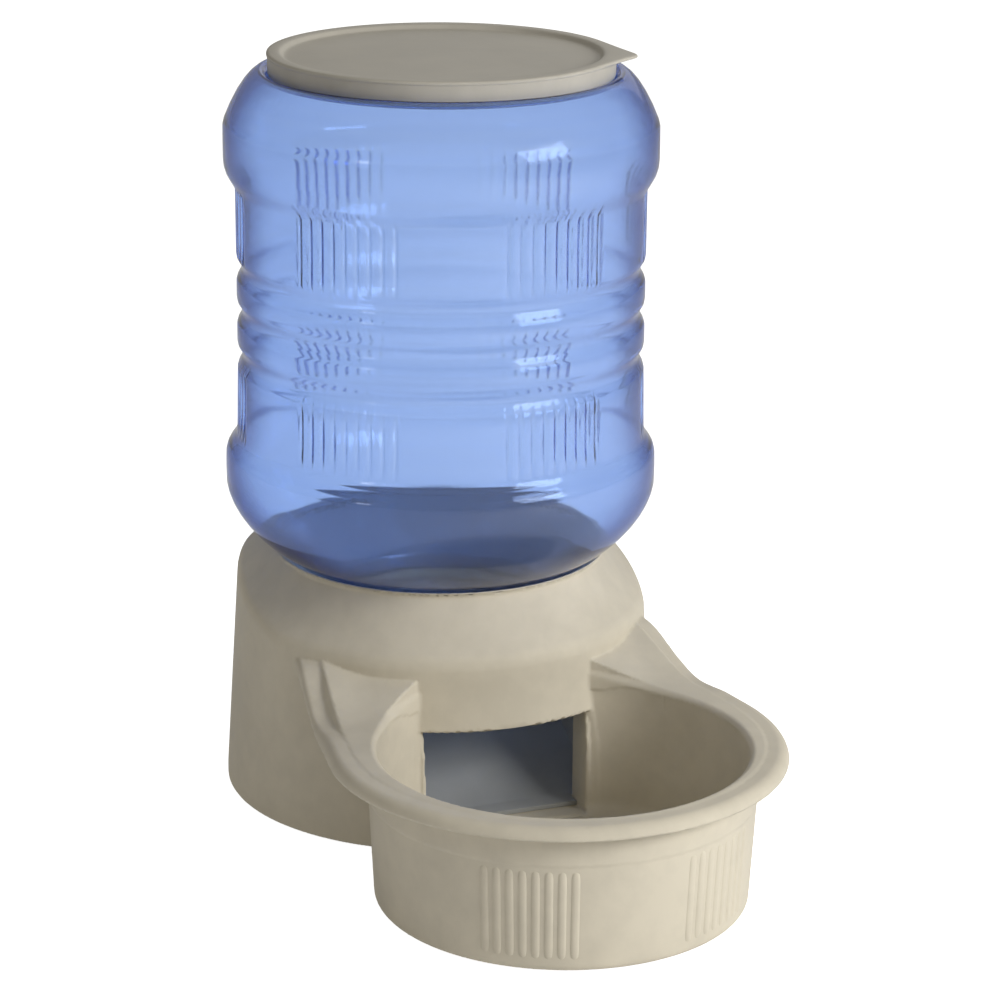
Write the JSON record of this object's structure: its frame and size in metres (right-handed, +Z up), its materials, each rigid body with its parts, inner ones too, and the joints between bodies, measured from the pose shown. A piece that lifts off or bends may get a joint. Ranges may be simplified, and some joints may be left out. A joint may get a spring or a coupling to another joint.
{
  "type": "gravity hopper feeder",
  "caption": "Floor-standing gravity feeder: round lidded hopper on a pedestal base with a feed ramp, throat and open bowl.",
  "frame": {"origin": "on the floor under the middle of the whole outline, at the underside of the rubber feet", "axes": "+Z up along the hopper axis; -Y from the hopper towards the bowl; +X to the right of a person facing the bowl from -Y"},
  "size_m": [0.2384, 0.4124, 0.4088],
  "materials": {
    "base_plastic": "fine satin moulded surface, warm beige",
    "ramp_plastic": "fine satin moulded surface, mid grey",
    "hopper_plastic": "glossy translucent blue, blow moulded",
    "lid_plastic": "fine satin moulded surface, warm beige",
    "screw_steel": "plain zinc-plated",
    "foot_rubber": "matt"
  },
  "bodies": {
    "base": {"base_shell": "base_plastic", "feed_ramp": "ramp_plastic", "ramp_screw_1": "screw_steel", "ramp_screw_2": "screw_steel", "ramp_screw_3": "screw_steel", "ramp_screw_4": "screw_steel", "rubber_foot_1": "foot_rubber", "rubber_foot_2": "foot_rubber", "rubber_foot_3": "foot_rubber", "rubber_foot_4": "foot_rubber", "rubber_foot_5": "foot_rubber", "rubber_foot_6": "foot_rubber"},
    "hopper": {"hopper": "hopper_plastic"},
    "lid": {"lid": "lid_plastic"}
  },
  "joints": [
    {"name": "hopper_lift", "type": "slide", "parent": "base", "child": "hopper", "axis": [0, 0, 1], "range_m": [0, 0.12]},
    {"name": "lid_lift", "type": "slide", "parent": "hopper", "child": "lid", "axis": [0, 0, 1], "range_m": [0, 0.06]}
  ]
}
